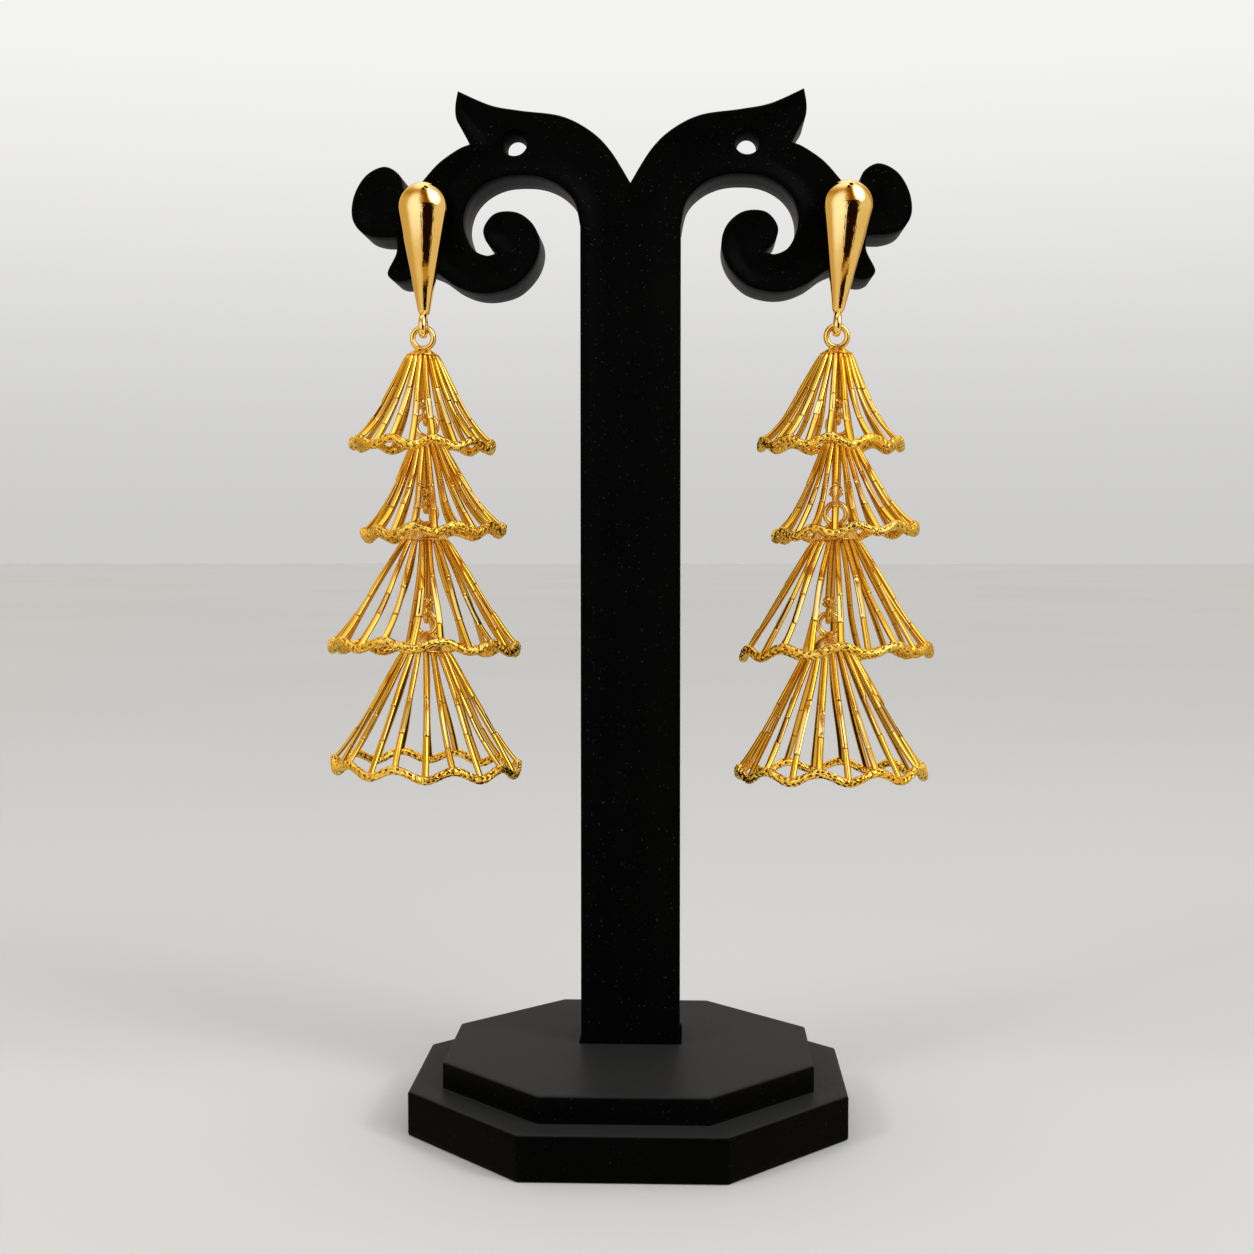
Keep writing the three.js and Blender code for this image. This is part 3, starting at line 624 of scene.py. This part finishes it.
def bars(size, turn, draw, unruly):
    """The bars, each a closed skin of sections from cap to rim, and their marks. A share s of the
    way down, the middle line is at the radius cap + (rim - cap)(cone s + (1 - cone) s^4), bowed out
    by a part of sin(pi s) and aside by parts of sin(pi s) and sin(2 pi s). A section is half an oval
    outside and a shallower one inside. Between the nicks the outside is filed down to a flat, which
    is canted across the bar and slopes along it."""
    each = (BARS, 1, 1)
    nicks = np.column_stack([draw.uniform(0.36, 0.56, BARS), draw.uniform(0.66, 0.82, BARS)])
    close_by = nicks[:, :, None] + np.array([-0.014, -0.009, -0.004, 0.004, 0.009, 0.014])
    even = np.concatenate([[0, 0.003], np.linspace(0.04, 0.97, 24), [0.997, 1]])
    even = np.broadcast_to(even, (BARS, len(even)))
    s = np.sort(np.concatenate([even, close_by.reshape(BARS, -1)], axis=1), axis=1)[..., None]
    first, second = nicks[:, 0, None, None], nicks[:, 1, None, None]
    bearing = turn + 2 * math.pi * np.arange(BARS)[:, None, None] / BARS
    bearing = bearing + draw.normal(0, 0.012, each) * s
    spread, fall = size["rim_r"] - size["cap_r"], size["height"] - size["cap_rise"] + BAR_TUCK
    middle = size["cap_r"] + spread * (size["cone"] * s + (1 - size["cone"]) * s ** 4)
    steep = spread * (size["cone"] + 4 * (1 - size["cone"]) * s ** 3)
    height = -CAP_DROP - size["cap_rise"] + BAR_TUCK - s * fall + scallop(size, bearing, turn) * s ** 6
    outward, upward = fall / np.hypot(fall, steep), steep / np.hypot(fall, steep)
    bow = draw.normal(0, BAR["bow"] * unruly, each) * np.sin(math.pi * s)
    aside = (draw.normal(0, BAR["sway"] * unruly, each) * np.sin(math.pi * s)
             + draw.normal(0, BAR["snake"] * unruly, each) * np.sin(2 * math.pi * s))
    roll = full_turn(16)
    across, over = np.cos(roll), np.sin(roll)
    half = np.minimum(BAR["half"] + BAR["widens"] * s, 0.98 * math.pi * middle / BARS)
    nicked = np.maximum(1 - np.abs(s - first) / BAR["nick"], 1 - np.abs(s - second) / BAR["nick"])
    nicked = nicked.clip(0, 1)
    filed = ease((s - first) / 0.012) * ease((second - s) / 0.012) * draw.uniform(0.35, 1, each)
    canted = draw.uniform(-0.30, 0.30, each) * across
    sloped = draw.uniform(-0.16, 0.16, each) * (2 * s - first - second) / (second - first)
    crown = BAR["crown"] - BAR["filed_off"] * filed
    crown = crown * (1 - 0.45 * nicked) * (0.45 + 0.55 * ease(s / 0.05))
    lift = np.where(over > 0, crown * np.abs(over) ** (1 - 0.55 * filed), -BAR["back"] * np.abs(over))
    lift = lift + np.where(over > 0.1, filed * (canted * half + sloped * 0.5), 0)
    wide = half * np.sign(across) * np.abs(across) ** (1 - 0.2 * filed) * (1 - 0.06 * nicked)
    radius = middle + bow + lift * outward
    tangent = aside * (middle / size["rim_r"]) ** 0.3 + wide
    closed = np.zeros(s.shape, bool)
    closed[:, [0, -1]] = True
    tangent = np.where(closed, aside, tangent)
    radius = np.where(closed, middle, radius)
    z = np.where(closed, height, height + lift * upward)
    grids = np.stack([radius * np.sin(bearing) + tangent * np.cos(bearing),
                      -radius * np.cos(bearing) + tangent * np.sin(bearing), z], axis=-1)
    marks = {"edge": np.abs(across) ** 3, "inner": over < -0.1, "nick": nicked,
             "filed": filed * (over > 0.2), "tone": draw.uniform(0, 1, each)}
    return grids, {mark: (values + 0 * z).reshape(-1) for mark, values in marks.items()}


def bent(points, skew):
    """The wire cage bent aside: what hangs under the cap's top moves to the right by the tangent of
    skew times its depth."""
    aside = (-CAP_DROP - points[:, 2]).clip(0) * math.tan(math.radians(skew))
    return points + np.column_stack([aside, 0 * aside, 0 * aside])


def to_pit(u, v, cells, draw):
    """For places u, v on a ring of cells, how far the nearest of their pits is, in cells, and how
    deep that pit is. Each cell has one pit, thrown up to a third of a cell off its middle."""
    off = draw.uniform(-0.34, 0.34, (2, *cells))
    depth = draw.uniform(0.25, 1.0, cells)
    best, found = np.full(u.shape, 9.0), np.zeros(u.shape)
    for step_u in (-1, 0, 1):
        for step_v in (-1, 0, 1):
            row, column = np.floor(u).astype(int) + step_u, np.floor(v).astype(int) + step_v
            place = (row % cells[0], column % cells[1])
            away = np.hypot(row + 0.5 + off[0][place] - u, column + 0.5 + off[1][place] - v)
            found = np.where(away < best, depth[place], found)
            best = np.minimum(best, away)
    return best, found


def rim(size, turn, draw, frosted):
    """The rim: a ring of thick wire whose middle line waves up and down, and its marks. Its pits
    stand in rows, a little out of true; a pit is sunk by up to a third of the wire's half
    thickness, and the metal between is raised in lumps and small grains, but nowhere above the
    wire's full half thickness. The more frosted a rim is, the stronger are its grains and the
    shallower its pits; its pit mark is painted shade in the pits, and on a frosted rim in the hollows
    between its grains too."""
    around, sides = 2 * round(size["rim_r"] * 46), 42
    bearing, roll = full_turn(around)[:, None], full_turn(sides)[None]
    cells = (2 * round(math.pi * size["rim_r"] / RIM["spacing"]), RIM["rows"])
    v = np.broadcast_to(roll / (2 * math.pi) * cells[1], (around, sides))
    u = np.broadcast_to(bearing / (2 * math.pi) * cells[0], v.shape)
    away, depth = to_pit(u, v, cells, draw)
    pit = ease((0.36 - away) / 0.14) * ease(depth * 2.1 - 0.35)
    lump, rise = to_pit(u / 2 + 0.3, v, (cells[0] // 2, cells[1]), draw)
    grain, height = to_pit(u * 3, v * 3, (cells[0] * 3, cells[1] * 3), draw)
    raised = ease((0.75 - grain) / 0.5) * (1 - pit)
    swell = (RIM["lump"] * rise * ease((0.8 - lump) / 0.6)
             + (RIM["grain"] + RIM["frost"] * frosted) * height * raised)
    thick = RIM["half"] * np.minimum(RIM["plain"] - (RIM["pit"] - 0.1 * frosted) * pit + swell, 1)
    # the pit mark is painted shade: in the pits, and the more frosted the rim, the more in the hollows
    # between its grains
    pit = np.maximum(pit * (1 - 0.35 * frosted), 0.44 * frosted * (1 - raised * (0.4 + 0.6 * height)))
    radius = size["rim_r"] + thick * np.cos(roll)
    z = -CAP_DROP - size["height"] + scallop(size, bearing, turn) + thick * np.sin(roll)
    grid = np.stack([radius * np.sin(bearing), -radius * np.cos(bearing), z], axis=-1)
    return grid, {"pit": pit.reshape(-1)}


def cap(size):
    """The cap: a turned dome whose thin edge is flush with the tops of the bars. At a share s of
    the way out it has sunk by s to a power a little over 2, and its last stretch flares a little
    by a part of s^14."""
    (top, rise, power), lip = size["dome"], size["cap_r"] + 0.27
    out = np.sin(np.linspace(0, math.pi / 2, 20))
    dome = np.column_stack([lip * (0.95 * out + 0.05 * out ** 14), -top - rise * out ** power])
    floor_z = -top - rise
    under = [(lip + 0.012, floor_z - 0.03), (lip + 0.005, floor_z - 0.06), (lip - 0.06, floor_z - 0.07),
             (lip - 0.5, floor_z - 0.07), (0, floor_z - 0.21)]
    return turned(np.vstack([dome, under]), 72)


def tube_and_collar(size):
    """The tube under the cap and its collar: two rows of four beads, made by letting the radius of
    a turned profile rise and fall round the axis as a cosine does, with a groove between the rows."""
    foot = -CAP_DROP - size["stem"] + EYE["r"] + EYE["wire"]
    head = -CAP_DROP - size["cap_rise"] + 0.1
    r, around, waist = COLLAR["tube"], COLLAR["around"], COLLAR["waist"]
    tube = turned([(0, head), (r, head), (r, foot + 0.75), (r - 0.04, foot + 0.6), (0, foot + 0.55)], 40)
    arc = np.linspace(0, math.pi, 25)
    bead_r = np.sin(arc) ** 0.7 * COLLAR["r"]
    bead = turned(np.column_stack([bead_r, foot + 0.15 + COLLAR["half"] * np.cos(arc)]), around)
    level = np.cos(arc)[:, None]
    half_a_bead = np.where(level > waist, math.pi, 0)
    petals = np.cos(COLLAR["beads"] * full_turn(around) + half_a_bead) * np.sin(arc)[:, None]
    groove = np.exp(-((level - waist) / 0.16) ** 2)
    swell = 1 + 0.2 * petals * (1 - groove) - 0.16 * groove
    bead[..., :2] *= swell[..., None]
    return [tube, bead]


# the bars differ a little in tone; the filed flats are painted paler, a painted highlight, and the
# sides, the insides and the nicks are painted redder and darker, as painted shade and reflection
bar_gold, bar_shader, add, link = polished_gold("bar_gold", (1.0, 0.54, 0.034), (1.0, 0.61, 0.056),
                                                rough=0.09, scratch=0.12, peeled=0.02)
read = {mark: add("ShaderNodeAttribute", {"attribute_name": mark}).outputs["Fac"]
        for mark in ("edge", "inner", "nick", "filed", "tone")}
painted_side_shade = ramp(add, read["edge"], [(0.45, 0.0), (0.95, 0.75)])
painted_inner_shade = add("ShaderNodeMath", {"operation": "MULTIPLY"}, i0=read["inner"], i1=0.55).outputs[0]
gold = bar_shader.inputs["Base Color"].links[0].from_socket
# painted light: paler filed flats are a painted highlight; darker sides, insides and nicks are painted
# shade and reflection
for share, colour in [(read["tone"], (1.0, 0.66, 0.13)), (read["filed"], (1.0, 0.74, 0.27)),
                      (painted_side_shade, (0.38, 0.15, 0.015)), (painted_inner_shade, (0.66, 0.32, 0.035)),
                      (read["nick"], (0.16, 0.06, 0.01))]:
    gold = mixed(add, share, gold, colour)
link(gold, bar_shader.inputs["Base Color"])

rim_gold, rim_shader, add, link = polished_gold("rim_gold", (1.0, 0.595, 0.075), (1.0, 0.70, 0.16),
                                                rough=0.12, scratch=0.4)
# painted shade: the pits and the hollows between the grains are painted a dark brown
pit_mark = add("ShaderNodeAttribute", {"attribute_name": "pit"}).outputs["Fac"]
sunk = mixed(add, ramp(add, pit_mark, [(0.25, 0.0), (0.75, 1.0)]),
             rim_shader.inputs["Base Color"].links[0].from_socket, (0.14, 0.037, 0.003))
link(sunk, rim_shader.inputs["Base Color"])

cap_gold, *_ = polished_gold("cap_gold", (0.98, 0.68, 0.20), (1.0, 0.74, 0.25), rough=0.17, scratch=0.2)
# painted shade: the tube and collar under the cap take a darker copy of the gold
shaded_tube_gold, *_ = polished_gold("shaded_tube_gold", (0.76, 0.44, 0.075), (0.86, 0.52, 0.11),
                              rough=0.2, scratch=0.3)

pivots = {joint["child"]: np.array(joint["pos_m"]) / MM for joint in frame["joints"]}
for side, row in BELLS.items():
    for number, bell in enumerate(row, start=1):
        size, lean, skew, stem_lean, tip, low_scallop, unruly, frosted = bell
        body = f"{side}_bell_{number}"
        pivot, turn = pivots[body], math.radians(low_scallop)
        draw = np.random.default_rng(40 + 10 * (side == "right") + number)

        bar_grids, bar_marks = bars(size, turn, draw, unruly)
        rim_grid, rim_marks = rim(size, turn, draw, frosted)
        link_ring = wire_ring(RING["r"], RING["wire"], False, [0, 0, -RING["r"]])
        dome_and_ring = joined(skin([cap(size)]), skin([link_ring], ring=True))
        made = []
        for part, (points, faces), marks, sharp, gold in [
                ("bars", skin(bar_grids), bar_marks, 50, bar_gold),
                ("rim", skin([rim_grid], ring=True), rim_marks, 180, rim_gold),
                ("cap", dome_and_ring, None, 38, cap_gold)]:
            points = hung(bent(points, skew), pivot, lean, tip)
            made.append(piece(f"{body}_{part}", points, faces, marks, sharp))
            made[-1].data.materials.append(gold)
        if number < len(row):
            eye = wire_ring(EYE["r"], EYE["wire"], True, [0, 0, -CAP_DROP - size["stem"]])
            points, faces = joined(skin(tube_and_collar(size)), skin([eye], ring=True))
            tube = piece(f"{body}_tube", hung(points, pivot, stem_lean), faces, sharp=60)
            tube.data.materials.append(shaded_tube_gold)
            made.append(tube)
        for part in made:
            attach(part, body)
        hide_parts(body)

# ---- Studio -----------------------------------------------------------------------------------
# A plain pale floor under a plain pale ground. The light is a soft box to each side and a white
# ceiling; to the front the tent is open, and the dark of the room shows there in polished gold.
floor_mesh = bpy.data.meshes.new("floor")
floor_mesh.from_pydata([(-6, -6, 0), (6, -6, 0), (6, 6, 0), (-6, 6, 0)], [], [(0, 1, 2, 3)])
floor = bpy.data.objects.new("floor", floor_mesh)
scene.collection.objects.link(floor)
floor_material, floor_shader, add, link = finish("pale_floor")
place = add("ShaderNodeTexCoord").outputs["Object"]
link(ramp(add, noise(add, place, 3.0), [(0.3, (0.495, 0.493, 0.488)), (0.7, (0.52, 0.518, 0.513))]),
     floor_shader.inputs["Base Color"])
floor_shader.inputs["Roughness"].default_value = 0.7
floor.data.materials.append(floor_material)
floor.visible_glossy = False

ROOM_LIGHT = {"dim": 0.385, "least": 0.012}
FRONT_DIMMED = 0.5
LOW_BEHIND_DIMMED = 0.4
TINT = {"from": 0.20, "green": 0.6, "blue": 2.4}
world = bpy.data.worlds.new("studio")
scene.world = world
world.use_nodes = True
world.node_tree.nodes.clear()
room = partial(add_node, world.node_tree)


def maths(operation, first, second=0.0):
    """A number of the studio's worked out from one or two others."""
    return room("ShaderNodeMath", {"operation": operation}, i0=first, i1=second).outputs[0]


def total(first, *others):
    """The sum of the studio's numbers."""
    for other in others:
        first = maths("ADD", first, other)
    return first


def times(first, *others):
    """The product of the studio's numbers."""
    for other in others:
        first = maths("MULTIPLY", first, other)
    return first


def without(share):
    """What is left of 1 when a share of it is taken away."""
    return maths("SUBTRACT", 1.0, share)


def fade(value, start, end):
    """0 before start and 1 after end, smoothly; start may be the higher one."""
    return room("ShaderNodeMapRange", {"interpolation_type": "SMOOTHSTEP"}, i0=value, i1=start, i2=end,
                i3=0.0, i4=1.0).outputs[0]


def near(direction, inner, outer):
    """1 within the angle inner of a direction and 0 beyond the angle outer, in degrees."""
    aimed = Vector(direction).normalized()
    dot = room("ShaderNodeVectorMath", {"operation": "DOT_PRODUCT"}, i0=toward, i1=aimed)
    return fade(dot.outputs["Value"], math.cos(math.radians(outer)), math.cos(math.radians(inner)))


# directions go by their height up and by their bearing, which is 0 at the front and grows to the
# right, or by how far aside they are, either way; the frayed ones are torn by long level wisps
toward = room("ShaderNodeTexCoord").outputs["Generated"]
axis = room("ShaderNodeSeparateXYZ", Vector=toward)
up = axis.outputs["Z"]
bearing = maths("ARCTAN2", axis.outputs["X"], times(axis.outputs["Y"], -1.0))
aside = maths("ABSOLUTE", bearing)
flat = room("ShaderNodeVectorMath", {"operation": "MULTIPLY"}, i0=toward, i1=(1.0, 1.0, 3.4))
torn = total(noise(room, flat.outputs[0], 9.0, 6.0, 0.75), -0.5)
frayed = total(bearing, times(torn, 1.25))
frayed_up = total(up, times(torn, 0.12))

# a soft box to the left and one to the right, each with its brighter heart; the right one reaches
# nearer to the middle above eye level
left_box = times(fade(bearing, -2.3, -1.7), fade(frayed, 0.10, -0.04), fade(up, -0.6, 0.05),
                 fade(up, 0.70, 0.40))
right_edge = total(frayed, times(fade(up, 0.06, 0.26), 0.30))
right_box = times(fade(bearing, 1.75, 1.45), fade(right_edge, 0.60, 0.70), fade(up, -0.6, 0.05),
                  fade(up, 0.86, 0.66))
left_heart = times(near((-0.47, -0.87, 0.14), 0, 40), total(0.35, times(fade(up, -0.14, 0.05), 0.65)))
right_heart = near((0.57, -0.60, 0.56), 3, 26)
# the ceiling with its lamp, the walls behind and the pale table below
ceiling = fade(up, 0.60, 0.92)
lamp_above = near((-0.08, -0.22, 0.97), 4, 34)
behind = times(fade(aside, 1.6, 2.2), fade(up, -0.5, 0.0))
table = fade(up, -0.05, -0.6)
bright = [(left_box, 0.22), (right_box, 0.40), (left_heart, 0.60), (right_heart, 3.6),
          (ceiling, 0.50), (lamp_above, 0.45), (behind, 0.38), (table, 0.40)]
strength = total(ROOM_LIGHT["dim"], *(times(place, light) for place, light in bright))
# the dark of the room between the boxes, a ragged patch at eye level and a second one below it;
# above them the front is only half as bright, and two small dark things hang under the ceiling;
# low behind, the room is dimmer too
patch = times(fade(frayed_up, -0.20, -0.17), fade(frayed_up, 0.28, 0.22))
low_patch = times(fade(up, -0.48, -0.43), fade(frayed_up, -0.22, -0.25))
hole = times(fade(frayed, -0.08, -0.05), fade(frayed, 0.71, 0.68), total(patch, low_patch))
front = times(fade(frayed, -0.30, -0.10), fade(frayed, 0.60, 0.40), fade(up, 0.12, 0.26),
              fade(up, 0.86, 0.70))
hanging = total(near((0.16, -0.42, 0.89), 7, 9), near((0.0, -0.62, 0.785), 5, 7))
low_behind = times(fade(aside, 1.4, 1.9), fade(up, 0.05, -0.10))
strength = times(strength, without(hole), without(hanging), without(times(front, FRONT_DIMMED)),
                 without(times(low_behind, LOW_BEHIND_DIMMED)))
strength = total(strength, ROOM_LIGHT["least"])
# the dimmer a part of the room is, the browner it stands in the polished gold; what is straight
# behind and low behind stays grey, and shows in the black stand alone
straight_behind = times(fade(aside, 2.75, 2.95), fade(up, -0.05, 0.02), fade(up, 0.50, 0.40))
path = room("ShaderNodeLightPath")
seen = path.outputs["Is Camera Ray"]
tinted_share = times(path.outputs["Is Glossy Ray"], without(total(low_behind, straight_behind)))
depth = maths("MAXIMUM", maths("MINIMUM", strength, 1.0), TINT["from"])
brown = room("ShaderNodeCombineColor", i0=1.0, i1=maths("POWER", depth, TINT["green"]),
             i2=maths("POWER", depth, TINT["blue"]))
tinted = mixed(room, tinted_share, (1.0, 0.995, 0.985), brown.outputs[0])
ground = mixed(room, fade(up, 0.0, 0.30), (0.615, 0.61, 0.60), (0.92, 0.915, 0.91))
power = room("ShaderNodeMix", {"data_type": "FLOAT"}, i0=seen, i2=strength, i3=1.0)
backdrop = room("ShaderNodeBackground", Color=mixed(room, seen, tinted, ground),
                Strength=power.outputs[0])
room("ShaderNodeOutputWorld", Surface=backdrop.outputs[0])

# a small lamp to each side, which draws the soft shadows and isn't mirrored itself
for name, place, size in [("lamp_left", (-0.34, -0.26, 0.36), 0.12),
                          ("lamp_right", (0.36, -0.22, 0.34), 0.10)]:
    light = bpy.data.lights.new(name, "AREA")
    light.size = size
    light.energy = 0.8
    light.color = (1.0, 0.99, 0.975)
    lamp = bpy.data.objects.new(name, light)
    lamp.location = place
    lamp.visible_glossy = False
    lamp.rotation_euler = (Vector((0, 0, 0.07)) - Vector(place)).to_track_quat("-Z", "Y").to_euler()
    scene.collection.objects.link(lamp)

camera_data = bpy.data.cameras.new("camera")
camera_data.lens = 52.5
camera_data.sensor_width = 36.0
camera_data.clip_start = 0.01
camera = bpy.data.objects.new("camera", camera_data)
camera.location = (0.00711, -0.21442, 0.06733)
camera.rotation_euler = (math.radians(87.4), 0, math.radians(2.0))
scene.collection.objects.link(camera)
bpy.context.scene.camera = camera
scene.view_settings.view_transform = "Standard"
